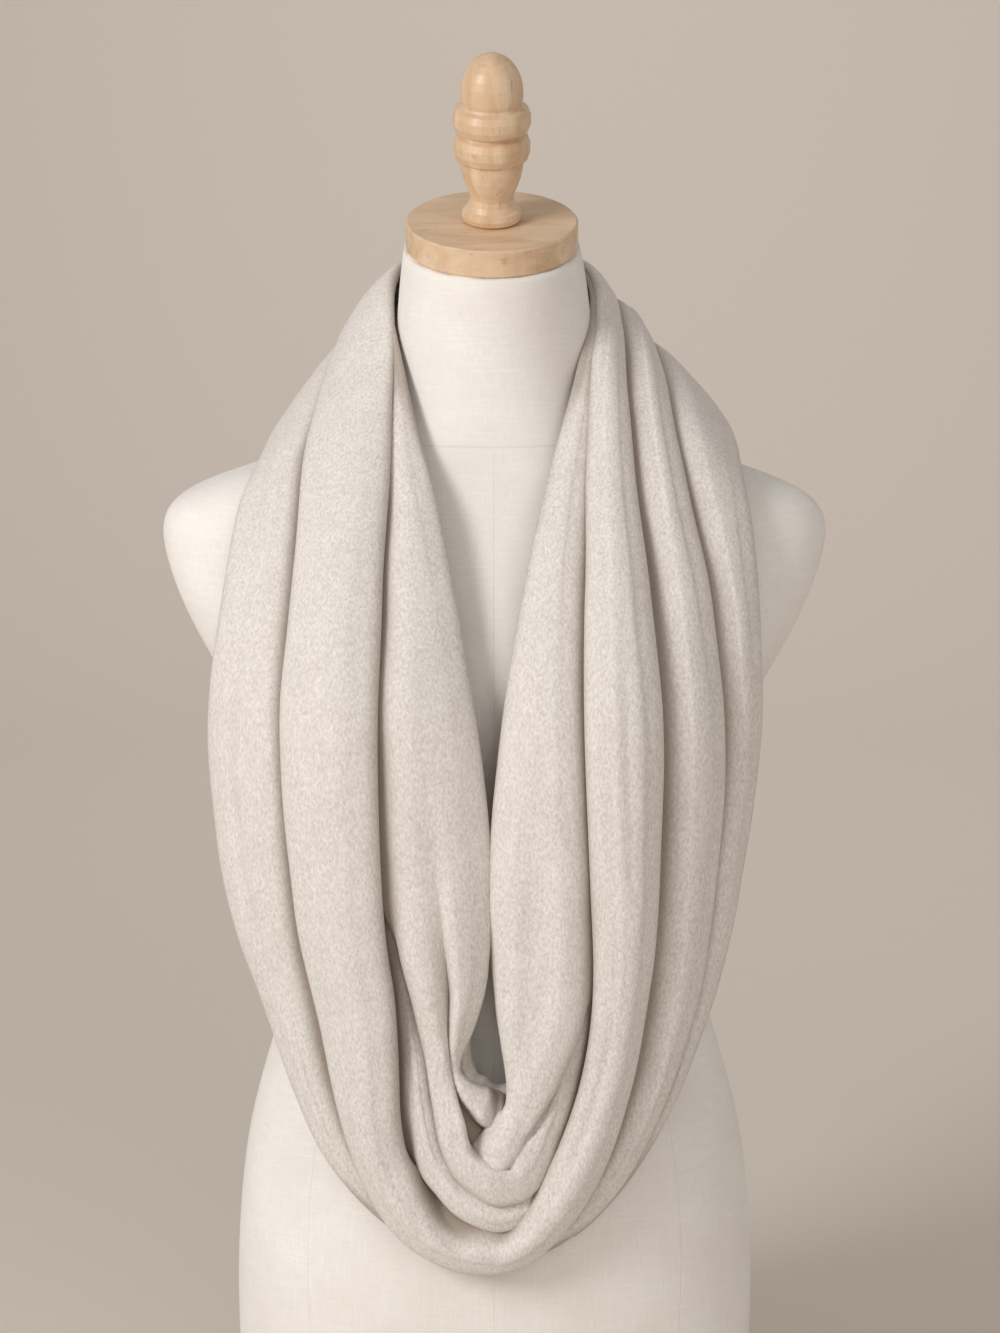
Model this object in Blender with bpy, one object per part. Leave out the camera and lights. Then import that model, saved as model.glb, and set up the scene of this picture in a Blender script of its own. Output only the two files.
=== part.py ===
"""Infinity scarf worn in one long loop on a limbless dress form.

The scarf is one wide closed band of brushed jersey. It stands up behind the neck,
passes over both shoulders and hangs to the hips in a deep U, gathered into long
folds. Each stretch of fold that shows is a wall of its own. The dress form is a
linen torso with a neck disc and a turned finial of wood.

Metres, +Z up, the chest faces -Y. The origin is the middle of the form's base.
"""

import math

import bmesh
import bpy
import numpy as np

MM = 0.001
CLOTH = 2.5 * MM
SEAM_GAP = 0.3 * MM
TOUCH_GAP = 0.3 * MM

# The band's path round the body: its inner edge, middle and outer edge at each
# station, in millimetres. The loop closes from the last station to the first.
BAND = (
    # station       inner x, y, z      middle x, y, z     outer x, y, z
    ("nape",       (0, 52, 818),     (0, 78, 765),      (0, 94, 696)),
    ("back_l",     (-46, 36, 812),   (-74, 60, 762),    (-100, 80, 694)),
    ("shoulder_l", (-68, 6, 797),    (-103, 20, 757),   (-150, 18, 696)),
    ("collar_l",   (-57, -44, 745),  (-104, -48, 715),  (-163, -46, 672)),
    ("upper_l",    (-34, -92, 658),  (-98, -102, 634),  (-174, -70, 608)),
    ("chest_l",    (-14, -128, 549), (-98, -138, 545),  (-183, -74, 522)),
    ("rib_l",      (-3, -134, 451),  (-88, -142, 440),  (-174, -80, 430)),
    ("waist_l",    (-5, -132, 380),  (-70, -140, 365),  (-150, -90, 350)),
    ("low_l",      (-10, -131, 328), (-48, -140, 292),  (-112, -108, 252)),
    ("hem_l",      (-6, -130, 309),  (-26, -140, 256),  (-62, -124, 201)),
    ("bottom",     (4, -130, 303),   (2, -142, 248),    (0, -131, 181)),
    ("hem_r",      (9, -131, 311),   (30, -142, 260),   (60, -124, 204)),
    ("low_r",      (4, -133, 338),   (52, -142, 300),   (106, -108, 262)),
    ("waist_r",    (0, -134, 390),   (72, -142, 372),   (142, -90, 350)),
    ("rib_r",      (0, -136, 455),   (82, -142, 445),   (160, -80, 430)),
    ("chest_r",    (9, -130, 549),   (88, -138, 545),   (171, -74, 522)),
    ("upper_r",    (28, -94, 658),   (92, -102, 640),   (169, -70, 617)),
    ("collar_r",   (53, -44, 748),   (98, -48, 720),    (160, -44, 675)),
    ("shoulder_r", (64, 6, 794),     (98, 20, 757),     (148, 18, 698)),
    ("back_r",     (46, 36, 812),    (72, 60, 762),     (98, 80, 694)),
)
LOOP = len(BAND)

# Creases run along the band. Each gives, at some stations, its share of the way
# from the band's inner edge (0) to its outer edge (1).
CREASES = {
    "inner_edge": ((0, 0.0), (20, 0.0)),
    "outer_edge": ((0, 1.0), (20, 1.0)),
    "roll_inside": ((2, 0.0), (3, 0.11), (4, 0.30), (5, 0.35), (6, 0.39), (7, 0.45), (8, 0.58),
                    (9, 0.76), (9.5, 0.84), (10.25, 0.82), (11, 0.58), (12, 0.48), (13, 0.42),
                    (14, 0.36), (15, 0.31), (16, 0.26), (17, 0.11), (18, 0.0)),
    "roll_outside": ((2, 0.42), (3, 0.63), (4, 0.70), (6, 0.71), (7, 0.74), (8, 0.82), (9, 0.96),
                     (9.5, 1.0), (10.25, 1.0), (11, 0.84), (12, 0.72), (13, 0.65), (14, 0.60),
                     (15, 0.57), (16, 0.49), (17, 0.33), (18, 0.20)),
    "swag_inside": ((2, 0.0), (3, 0.06), (4, 0.16), (5, 0.20), (6, 0.21), (7, 0.24), (8, 0.27),
                    (9, 0.35), (9.5, 0.40), (10, 0.43), (10.5, 0.37), (11, 0.33), (12, 0.38),
                    (13, 0.41), (14, 0.36), (15, 0.31), (16, 0.26), (17, 0.11), (18, 0.0)),
    "swag_outside": ((2, 0.0), (3, 0.11), (4, 0.30), (5, 0.35), (6, 0.385), (7, 0.39), (8, 0.41),
                     (9, 0.50), (9.5, 0.57), (10.25, 0.65), (11, 0.58), (12, 0.48), (13, 0.42)),
    "hook_edge": ((2, 0.0), (3, 0.06), (4, 0.16), (5, 0.20), (6, 0.21), (7, 0.22), (8, 0.22),
                  (9, 0.18), (9.5, 0.16), (10, 0.12)),
    "crossing_edge": ((9.75, 0.35), (10, 0.22), (10.5, 0.11), (11, 0.02), (11.5, 0.0), (18, 0.0)),
    "right_split": ((10.5, 1.0), (11, 0.95), (12, 0.90), (13, 0.87), (14, 0.83), (15, 0.81),
                    (16, 0.75), (17, 0.61), (18, 0.48)),
}

# Each stretch of fold lies between two creases, over a span of stations, and its
# back rises by so many millimetres over them.
FOLDS = (
    # name                 inner crease     outer crease    start  end    rise  columns
    ("scarf_front_roll",   "roll_inside",   "roll_outside", 2.0,   18.0,  11.0, 7),
    ("scarf_left_outer",   "roll_outside",  "outer_edge",   2.0,   9.25,  8.0,  6),
    ("scarf_left_swag",    "swag_inside",   "swag_outside", 3.0,   12.5,  7.0,  6),
    ("scarf_low_swag",     "swag_outside",  "roll_inside",  7.0,   10.5,  6.0,  5),
    ("scarf_left_inner",   "inner_edge",    "hook_edge",    3.0,   9.75,  6.0,  6),
    ("scarf_right_inner",  "crossing_edge", "swag_inside",  9.75,  17.25, 9.0,  7),
    ("scarf_right_middle", "roll_outside",  "right_split",  11.0,  18.0,  9.0,  6),
    ("scarf_right_outer",  "right_split",   "outer_edge",   11.25, 18.0,  7.0,  5),
)
STATION_STEP = 0.25
STEEPEST_FOLD = 0.25
FOLD_FULLNESS = 0.7
THINNEST_SHARE = 0.6
SLOPE_STEP = 0.002
NAPE_SPAN = (18.0, 22.0)
NAPE_GAP = 0.012
NAPE_PLEATS = 4
NAPE_RISE = 8.0
NAPE_COLUMNS = 20

# The torso's level sections, in millimetres: half width, depth to the front and
# to the back of the frame's XZ plane.
TORSO = (
    # z,  half width, front, back
    (0, 166, 104, 97),
    (60, 171, 111, 103),
    (130, 173.5, 116, 108),
    (190, 170, 118, 106),
    (240, 164, 115, 100),
    (290, 150, 107, 92),
    (340, 134, 98, 83),
    (390, 124, 91, 78),
    (440, 129, 97, 82),
    (490, 146, 106, 88),
    (530, 165, 113, 92),
    (570, 190, 110, 95),
    (610, 208, 93, 96),
    (640, 215.5, 79, 93),
    (658, 211, 72, 88),
    (670, 192, 68, 83),
    (681, 160, 66, 79),
    (692, 126, 64, 75),
    (705, 94, 63, 69),
    (722, 74, 60, 63),
    (745, 65, 60, 56),
    (770, 62.5, 64, 50),
)
TORSO_SIDES = 56
TORSO_SQUARENESS = 2.3
BASE_EDGE = 3 * MM
ROUND_FROM = 680
ROUND_OVER = 50

# The neck leans forward, so its disc and finial share one tilted axis.
NECK_TILT = math.radians(14.5)
NECK_TOP = (-0.0015, -0.0180, 0.8250)
NECK_TOP_RADIUS = 55.5 * MM
NECK_FOOT = (0.0, -0.0085, 0.790)
NECK_FOOT_RADIUS = 62.0 * MM
DISC_RADIUS = 54.2 * MM
DISC_THICK = 18 * MM
DISC_EDGE = 1.2 * MM
TURNED_SIDES = 48
SHARP_ANGLE = math.radians(50)

# The finial's turned outline in millimetres, from the disc up. A moulding is given
# by its radius, its low and high edges, the radius it stands on and its steps; the
# other outlines are pairs of radius and height.
FOOT = (19.0, 0.3, 9.0, 16.5, 4)
COVE = ((14.6, 12.0), (13.6, 15.5), (14.2, 18.5))
VASE = ((16.0, 23.0), (18.0, 28.5), (19.4, 34.5), (19.9, 39.0))
LOW_BEAD = (24.2, 40.0, 57.5, 20.0, 5)
HIGH_BEAD = (24.6, 58.5, 75.5, 20.0, 5)
COLLAR = ((19.0, 77.0), (19.6, 80.0))
DOME_RADIUS = 19.6
DOME_FOOT = 84.0
DOME_RISE = 25.0
DOME_STEPS = 7
DOME_TIP = (1.2, 109.0)

LINEN = ("linen", (0.82, 0.77, 0.69), 0.9)
WOOD = ("wood", (0.72, 0.52, 0.32), 0.45)
WOOL = ("brushed_knit", (0.70, 0.64, 0.57), 0.95)


def clear_scene():
    for thing in list(bpy.data.objects):
        bpy.data.objects.remove(thing, do_unlink=True)


def plain_material(name, colour, roughness):
    material = bpy.data.materials.new(name)
    material.use_nodes = True
    surface = material.node_tree.nodes["Principled BSDF"]
    surface.inputs["Base Color"].default_value = (*colour, 1.0)
    surface.inputs["Roughness"].default_value = roughness
    surface.inputs["Metallic"].default_value = 0.0
    return material


def add_object(name, points, faces, material):
    """A named object from points and faces, smooth but for its sharp edges."""
    mesh = bpy.data.meshes.new(name)
    mesh.from_pydata([tuple(point) for point in points], [], faces)
    shape = bmesh.new()
    shape.from_mesh(mesh)
    bmesh.ops.recalc_face_normals(shape, faces=shape.faces)
    shape.to_mesh(mesh)
    shape.free()
    mesh.shade_smooth()
    mesh.set_sharp_from_angle(angle=SHARP_ANGLE)
    mesh.materials.append(material)
    thing = bpy.data.objects.new(name, mesh)
    bpy.context.scene.collection.objects.link(thing)
    return thing


def ring_faces(rings, sides):
    """Quads between rings of equal size, with a face over each end."""
    faces = []
    for ring in range(rings - 1):
        for side in range(sides):
            after = (side + 1) % sides
            low, high = ring * sides, (ring + 1) * sides
            faces.append((low + side, low + after, high + after, high + side))
    faces.append(tuple(reversed(range(sides))))
    faces.append(tuple((rings - 1) * sides + side for side in range(sides)))
    return faces


def smooth_step(before, here, after, beyond, share):
    """A cubic through two values that keeps the slope of their neighbours."""
    return 0.5 * (2 * here + (after - before) * share
                  + (2 * before - 5 * here + 4 * after - beyond) * share ** 2
                  + (3 * here - before - 3 * after + beyond) * share ** 3)


def rail_point(rail, station):
    """A point on the band's inner (0), middle (1) or outer (2) line."""
    whole = math.floor(station)
    near = [np.array(BAND[(whole + step) % LOOP][rail + 1], float) * MM for step in (-1, 0, 1, 2)]
    return smooth_step(*near, station - whole)


def band_point(station, across):
    """A point of the smooth band, before it is folded."""
    inner, middle, outer = (rail_point(rail, station) for rail in range(3))
    return (inner * (1 - across) * (1 - 2 * across)
            + middle * 4 * across * (1 - across)
            + outer * across * (2 * across - 1))


def band_frame(station, across):
    """The band's point, its outward direction and its direction across."""
    ahead, behind = station + 5 * SLOPE_STEP, station - 5 * SLOPE_STEP
    along = band_point(ahead, across) - band_point(behind, across)
    side = band_point(station, across + SLOPE_STEP) - band_point(station, across - SLOPE_STEP)
    side /= 2 * SLOPE_STEP
    outward = np.cross(side, along)
    outward /= np.linalg.norm(outward)
    return band_point(station, across), outward, side


def read_crease(crease, station):
    """A crease's place across the band at a station, by straight steps in its table."""
    stations, places = zip(*CREASES[crease])
    return float(np.interp(station, stations, places))


def wall_section(station, first, last, heights):
    """A closed ring of points: the wall's outer face, then its inner face."""
    final = len(heights) - 1
    outer_face, outward_lines = [], []
    for at, height in enumerate(heights):
        point, outward, side = band_frame(station, first + (last - first) * at / final)
        inset = SEAM_GAP / 2 / np.linalg.norm(side) * (1 - 2 * at / final)
        outer_face.append(point + side * inset + outward * height)
        outward_lines.append(outward)
    slopes = np.gradient(np.array(outer_face), axis=0)
    inner_face = []
    for at, (point, outward) in enumerate(zip(outer_face, outward_lines)):
        rise = np.dot(slopes[at], outward) / np.linalg.norm(slopes[at])
        steepness = 1.0 if at in (0, final) else max(THINNEST_SHARE, math.sqrt(1 - rise ** 2))
        inner_face.append(point - outward * CLOTH / steepness)
    return outer_face + inner_face[::-1]


def round_back(share):
    """The height across a fold: round on top, dipping to a crease at each edge."""
    return math.sin(math.pi * share) ** FOLD_FULLNESS if 0 < share < 1 else 0.0


def add_fold(name, inner, outer, start, end, rise, columns, material):
    """One stretch of fold: a wall that follows the band between two creases."""
    points = []
    rows = round((end - start) / STATION_STEP) + 1
    for row in range(rows):
        station = start + STATION_STEP * row
        first, last = read_crease(inner, station), read_crease(outer, station)
        width = np.linalg.norm(band_point(station, last) - band_point(station, first))
        height = min(rise * MM, width * STEEPEST_FOLD)
        heights = [height * round_back(column / columns) for column in range(columns + 1)]
        points += wall_section(station, first, last, heights)
    return add_object(name, points, ring_faces(rows, 2 * (columns + 1)), material)


def add_nape(material):
    """The band behind the neck, where its folds lie level one above another."""
    start, end = NAPE_SPAN
    rows = round((end - start) / STATION_STEP) + 1
    heights = [NAPE_RISE * MM * round_back(NAPE_PLEATS * column / NAPE_COLUMNS % 1.0)
               for column in range(NAPE_COLUMNS + 1)]
    points = []
    for row in range(rows):
        station = min(max(start + STATION_STEP * row, start + NAPE_GAP), end - NAPE_GAP)
        points += wall_section(station, 0.0, 1.0, heights)
    return add_object("scarf_nape", points, ring_faces(rows, 2 * (NAPE_COLUMNS + 1)), material)


def section_ring(half_width, front, back, centre, tilt, squareness):
    """A rounded oval section about a centre, leaning forward by a tilt."""
    ring = []
    for side in range(TORSO_SIDES):
        turn = 2 * math.pi * side / TORSO_SIDES
        cosine, sine = math.cos(turn), math.sin(turn)
        x = math.copysign(abs(cosine) ** (2 / squareness), cosine) * half_width
        depth = back if sine > 0 else front
        y = math.copysign(abs(sine) ** (2 / squareness), sine) * depth
        ring.append((centre[0] + x, centre[1] + y * math.cos(tilt), centre[2] + y * math.sin(tilt)))
    return ring


def add_torso(material):
    """The linen torso: level sections up to the neck, then tilted round ones."""
    points = section_ring(*[size * MM - BASE_EDGE for size in TORSO[0][1:]], (0, 0, 0), 0, TORSO_SQUARENESS)
    rings = 1
    for z, half_width, front, back in TORSO:
        height = max(z * MM, BASE_EDGE)
        round_share = min(1.0, max(0.0, (z - ROUND_FROM) / ROUND_OVER))
        squareness = TORSO_SQUARENESS + (2 - TORSO_SQUARENESS) * round_share
        points += section_ring(half_width * MM, front * MM, back * MM, (0, 0, height), 0, squareness)
        rings += 1
    foot, top = np.array(NECK_FOOT), np.array(NECK_TOP) - (0, 0, TOUCH_GAP)
    for share in (0.5, 1.0):
        radius = NECK_FOOT_RADIUS + (NECK_TOP_RADIUS - NECK_FOOT_RADIUS) * share
        points += section_ring(radius, radius, radius, foot + (top - foot) * share, NECK_TILT * share, 2.0)
        rings += 1
    return add_object("form_torso", points, ring_faces(rings, TORSO_SIDES), material)


def turned_solid(name, profile, start, material):
    """A turned piece on the neck's tilted axis from (radius, height) pairs."""
    points = []
    for radius, height in profile:
        for side in range(TURNED_SIDES):
            turn = 2 * math.pi * side / TURNED_SIDES
            x, y = radius * math.cos(turn), radius * math.sin(turn)
            points.append((start[0] + x,
                           start[1] + y * math.cos(NECK_TILT) - height * math.sin(NECK_TILT),
                           start[2] + y * math.sin(NECK_TILT) + height * math.cos(NECK_TILT)))
    return add_object(name, points, ring_faces(len(profile), TURNED_SIDES), material)


def along_axis(distance):
    """A point on the neck's axis at a distance above the top of the neck."""
    x, y, z = NECK_TOP
    return (x, y - distance * math.sin(NECK_TILT), z + distance * math.cos(NECK_TILT))


def disc_profile():
    inner = DISC_RADIUS - DISC_EDGE
    return [(inner, 0.0), (DISC_RADIUS, DISC_EDGE), (DISC_RADIUS, DISC_THICK - DISC_EDGE),
            (inner, DISC_THICK)]


def bead(radius, low, high, neck, steps):
    """Half a round moulding between two heights."""
    middle, half = (low + high) / 2, (high - low) / 2
    turns = [math.pi * (step / steps - 0.5) for step in range(steps + 1)]
    return [(neck + (radius - neck) * math.cos(turn), middle + half * math.sin(turn)) for turn in turns]


def finial_profile():
    """Foot, cove, vase, two beads, collar and dome, from the disc up."""
    turns = [math.pi / 2 * step / DOME_STEPS for step in range(DOME_STEPS)]
    dome = [(DOME_RADIUS * math.cos(turn), DOME_FOOT + DOME_RISE * math.sin(turn)) for turn in turns]
    steps = [*bead(*FOOT), *COVE, *VASE, *bead(*LOW_BEAD), *bead(*HIGH_BEAD), *COLLAR, *dome, DOME_TIP]
    return [(radius * MM, height * MM) for radius, height in steps]


def build():
    clear_scene()
    linen, wood, wool = (plain_material(*look) for look in (LINEN, WOOD, WOOL))
    add_torso(linen)
    turned_solid("neck_disc", disc_profile(), NECK_TOP, wood)
    turned_solid("finial", finial_profile(), along_axis(DISC_THICK), wood)
    add_nape(wool)
    for fold in FOLDS:
        add_fold(*fold, wool)


build()
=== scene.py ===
# %% [markdown]
# # An infinity scarf on a dress form
# The scarf is one wide closed band of brushed jersey. It stands up behind the neck
# of a linen dress form, passes over both shoulders and hangs in a deep U. The frame
# gives every piece's place and size; this script makes the cloth, the linen and
# the wood look like themselves.

# %% Load the frame
import math

import bmesh
import bpy
import numpy as np
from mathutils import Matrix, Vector


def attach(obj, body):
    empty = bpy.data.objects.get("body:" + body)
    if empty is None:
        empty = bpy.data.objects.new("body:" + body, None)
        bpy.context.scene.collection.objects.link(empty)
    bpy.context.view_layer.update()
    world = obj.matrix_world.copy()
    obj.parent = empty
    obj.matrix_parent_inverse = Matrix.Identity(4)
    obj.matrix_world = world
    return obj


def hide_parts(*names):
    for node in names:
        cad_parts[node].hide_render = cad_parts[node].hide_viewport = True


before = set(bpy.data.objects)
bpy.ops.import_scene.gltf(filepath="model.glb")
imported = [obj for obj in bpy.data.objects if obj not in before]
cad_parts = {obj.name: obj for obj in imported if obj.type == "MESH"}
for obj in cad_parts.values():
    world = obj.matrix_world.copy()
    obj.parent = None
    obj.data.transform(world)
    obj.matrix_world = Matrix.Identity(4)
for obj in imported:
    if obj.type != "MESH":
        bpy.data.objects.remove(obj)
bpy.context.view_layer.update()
MM = 0.001
scene = bpy.context.scene

# %% [markdown]
# ## Camera
# A long lens, a little above the form and looking down at it, keeps the shoulders
# in proportion. The portrait frame stops above the base, so the form runs out of it.
# A shorter lens nearer the form would swell the folds in front, so it is kept far off.

# %% The camera
CAMERA_AIM = Vector((0.0036, 0.0, 0.55))
CAMERA_DISTANCE = 2.5
CAMERA_PITCH = math.radians(13)
CAMERA_LENS = 103.9
SENSOR_WIDTH = 36.0


def add_camera():
    """The camera, turned down at the chest from in front."""
    data = bpy.data.cameras.new("camera")
    data.lens = CAMERA_LENS
    data.sensor_width = SENSOR_WIDTH
    camera = bpy.data.objects.new("camera", data)
    back = Vector((0, -math.cos(CAMERA_PITCH), math.sin(CAMERA_PITCH)))
    camera.location = CAMERA_AIM + back * CAMERA_DISTANCE
    camera.rotation_euler = (math.pi / 2 - CAMERA_PITCH, 0, 0)
    scene.collection.objects.link(camera)
    scene.camera = camera
    return camera


camera = add_camera()
print("camera at", [round(c, 3) for c in camera.location])

# %% [markdown]
# ## The band's path
# The worn band runs in one closed loop: behind the neck, over the left shoulder,
# down the chest, round the bottom and up to the right shoulder. It could be draped
# by a cloth simulation, but a simulated band never falls into the same folds, so it
# is bent to listed stations. The cloth follows three lines round the body: the band's inner
# edge, its middle and its outer edge, each a smooth closed curve through the same
# stations. A point of the smooth band is then a station and a share of the way
# across, from 0 at the inner edge to 1 at the outer one.

# %% The band's stations
BAND = (
    # station       inner x, y, z      middle x, y, z     outer x, y, z   (mm)
    ("nape",       (0, 52, 818),     (0, 78, 765),      (0, 94, 696)),
    ("back_l",     (-46, 36, 812),   (-74, 60, 762),    (-100, 80, 694)),
    ("shoulder_l", (-68, 6, 797),    (-103, 20, 757),   (-150, 18, 696)),
    ("collar_l",   (-57, -44, 745),  (-104, -48, 715),  (-163, -46, 672)),
    ("upper_l",    (-34, -92, 658),  (-98, -102, 634),  (-174, -70, 608)),
    ("chest_l",    (-14, -128, 549), (-98, -138, 545),  (-183, -74, 522)),
    ("rib_l",      (-3, -134, 451),  (-88, -142, 440),  (-174, -80, 430)),
    ("waist_l",    (-5, -132, 380),  (-70, -140, 365),  (-150, -90, 350)),
    ("low_l",      (-10, -131, 328), (-48, -140, 292),  (-112, -108, 252)),
    ("hem_l",      (-6, -130, 309),  (-26, -140, 256),  (-62, -124, 201)),
    ("bottom",     (4, -130, 303),   (2, -142, 248),    (0, -131, 181)),
    ("hem_r",      (9, -131, 311),   (30, -142, 260),   (60, -124, 204)),
    ("low_r",      (4, -133, 338),   (52, -142, 300),   (106, -108, 262)),
    ("waist_r",    (0, -134, 390),   (72, -142, 372),   (142, -90, 350)),
    ("rib_r",      (0, -136, 455),   (82, -142, 445),   (160, -80, 430)),
    ("chest_r",    (9, -130, 549),   (88, -138, 545),   (171, -74, 522)),
    ("upper_r",    (28, -94, 658),   (92, -102, 640),   (169, -70, 617)),
    ("collar_r",   (53, -44, 748),   (98, -48, 720),    (160, -44, 675)),
    ("shoulder_r", (64, 6, 794),     (98, 20, 757),     (148, 18, 698)),
    ("back_r",     (46, 36, 812),    (72, 60, 762),     (98, 80, 694)),
)
RAILS = np.array([row[1:] for row in BAND], float) * MM
LOOP = len(BAND)
print("band runs through", LOOP, "stations, from", BAND[0][0], "to", BAND[-1][0])


# %% Points of the smooth band
def rail_point(rail, station):
    """Points of one closed line at many stations: a Catmull-Rom spline."""
    whole = np.floor(station).astype(int)
    share = (station - whole)[..., None]
    before, here, after, beyond = (RAILS[(whole + step) % LOOP, rail] for step in (-1, 0, 1, 2))
    return 0.5 * (2 * here + (after - before) * share
                  + (2 * before - 5 * here + 4 * after - beyond) * share ** 2
                  + (3 * here - before - 3 * after + beyond) * share ** 3)


def band_point(station, across):
    """Points of the band: a curve through its three lines at each station."""
    inner, middle, outer = (rail_point(rail, station) for rail in range(3))
    share = across[..., None]
    return (inner * (1 - share) * (1 - 2 * share)
            + middle * 4 * share * (1 - share)
            + outer * share * (2 * share - 1))


hem_at_bottom = band_point(np.array([10.0]), np.array([1.0]))[0]
print("the band's outer edge at the bottom is at", hem_at_bottom.round(3).tolist())

# %% Straight out of the band
INNERMOST = 0.12
SLOPE_STEP = 0.002


def band_outward(station, across):
    """The direction straight out of the smooth band, away from the body."""
    across = np.maximum(across, INNERMOST)
    long_step = 5 * SLOPE_STEP
    along = band_point(station + long_step, across) - band_point(station - long_step, across)
    side = band_point(station, across + SLOPE_STEP) - band_point(station, across - SLOPE_STEP)
    outward = np.cross(side, along)
    return outward / np.linalg.norm(outward, axis=-1, keepdims=True)


print("outwards at the bottom:",
      band_outward(np.array([10.0]), np.array([0.8]))[0].round(2).tolist())

# %% [markdown]
# ## Creases
# Creases are the lines where one fold passes under the next. Each table gives a
# crease's share of the way across the band at some stations. Past station 20 the
# count goes on round the loop, for folds that pass behind the neck. A soft reading
# of the table takes the corners off, because cloth never turns a sharp corner
# lengthwise.

# %% Crease tables
CREASES = {
    "hem": ((0, 0.955),),
    "roll_inside": ((0, 0.04), (1.3, 0.0), (2, -0.03), (2.5, 0.0), (3, 0.10), (4, 0.30), (5, 0.355),
                    (6, 0.40), (6.5, 0.425), (7, 0.445), (7.5, 0.51), (8, 0.61), (8.4, 0.66),
                    (8.9, 0.64), (9.5, 0.68),
                    (10, 0.735), (10.3, 0.715), (10.6, 0.64), (11, 0.555), (11.5, 0.51), (12, 0.492),
                    (12.4, 0.478), (13, 0.435), (14, 0.37), (15, 0.31), (16, 0.26), (17, 0.11), (18, 0.0),
                    (20, 0.04)),
    "roll_outside": ((0, 0.36), (2, 0.42), (3, 0.60), (4, 0.655), (5, 0.665), (6, 0.68), (7, 0.73),
                     (8, 0.82), (9, 0.93), (9.5, 0.955), (10.25, 0.955), (10.5, 0.90), (11, 0.81),
                     (12, 0.71), (13, 0.63), (14, 0.59), (15, 0.565), (16, 0.49), (17, 0.33), (18, 0.20),
                     (20, 0.36), (22, 0.42), (23, 0.60), (24, 0.655), (25, 0.665), (26, 0.68), (27, 0.73),
                     (28, 0.82), (29, 0.93), (29.5, 0.955)),
    "outer_split": ((10.4, 0.95), (11, 0.93), (12, 0.90), (13, 0.86), (14, 0.83), (15, 0.81),
                    (16, 0.75), (17, 0.61), (18, 0.48), (20, 0.66), (22, 0.86), (23, 0.955),
                    (40, 0.955)),
    "panel_inner": ((18, 0.0), (19, -0.03), (20, -0.04), (21, -0.03), (22, 0.0), (26, 0.01),
                    (26.5, 0.02), (27, 0.035), (27.4, 0.10), (27.75, 0.225), (28, 0.175),
                    (28.3, 0.11), (28.7, 0.05), (29.2, 0.01), (29.8, 0.0), (30.2, 0.02),
                    (30.6, 0.12), (31, 0.20), (31.5, 0.22), (32, 0.27), (33, 0.33), (34, 0.30)),
    "panel_outer": ((18, 0.08), (20, 0.10), (22, 0.08), (23, 0.12), (24, 0.30), (25, 0.34),
                    (26, 0.37), (26.5, 0.36), (27, 0.345), (27.5, 0.345), (28, 0.38),
                    (28.5, 0.43), (29, 0.475), (29.5, 0.52), (30, 0.585), (30.5, 0.585), (31, 0.56),
                    (32, 0.50), (33, 0.45), (34, 0.40)),
    "low_swag_inner": ((5, 0.345), (6, 0.36), (7, 0.345), (7.5, 0.345), (8, 0.38), (8.5, 0.43), (9, 0.475),
                       (9.5, 0.52), (10, 0.585), (10.5, 0.585), (11, 0.56), (12, 0.50)),
    "low_swag_outer": ((5, 0.385), (6, 0.41), (6.5, 0.43), (7, 0.45), (7.5, 0.51), (8, 0.59), (8.5, 0.63),
                       (9, 0.645), (9.5, 0.70), (10, 0.745), (10.3, 0.74), (10.6, 0.70),
                       (11, 0.60)),
    "crossing_inner": ((8.98, 0.385), (9.1, 0.355), (9.2, 0.32), (9.35, 0.26), (9.5, 0.21), (9.8, 0.145),
                       (10.2, 0.115), (10.6, 0.125), (11.2, 0.135), (11.6, 0.12), (12, 0.08), (12.5, 0.035),
                       (13, 0.015), (14, 0.0), (18, 0.0), (19, 0.0), (22, 0.0)),
    "crossing_outer": ((8.98, 0.395), (9.35, 0.405), (9.6, 0.41), (10, 0.415), (10.5, 0.35), (11, 0.295),
                       (11.5, 0.305), (12, 0.34), (12.5, 0.38), (13, 0.41), (14, 0.37),
                       (15, 0.31), (16, 0.26), (17, 0.13), (18, 0.08), (20, 0.09), (22, 0.06)),
    "lining_inner": ((6.6, 0.04), (7, 0.05), (7.4, 0.09), (7.8, 0.09), (8.2, 0.05), (8.6, 0.0),
                     (9, -0.03), (10, -0.04), (11, -0.03), (12, 0.0), (13, 0.03)),
    "lining_outer": ((6.6, 0.12), (8, 0.21), (9, 0.22), (10, 0.24), (11, 0.2), (12, 0.16),
                     (13, 0.14)),
}
print("creases:", ", ".join(CREASES))

# %% Reading a table softly
SOFT_READ = 0.22
SOFT_SAMPLES = 7


def read_table(table, station, soft=SOFT_READ):
    """A table of (station, value) read at many stations through a soft window."""
    stations, values = zip(*table)
    shifts = np.linspace(-soft, soft, SOFT_SAMPLES)
    return np.mean([np.interp(station + shift, stations, values) for shift in shifts], axis=0)


print("roll's inner crease at the bottom:", round(float(read_table(CREASES["roll_inside"], 10.0)), 3))

# %% [markdown]
# ## The shape of a fold
# Across a fold the cloth makes a round back. Where the fold lies over its
# neighbour it ends in a lip that curls under itself; where it passes under, it dips
# into a narrow valley and runs on out of sight. A spline through a few control
# points draws either, and any mix of the two, so an edge can change along its way.

# %% Splines across a fold
JUST_INSIDE = 1 - 1e-9


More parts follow.
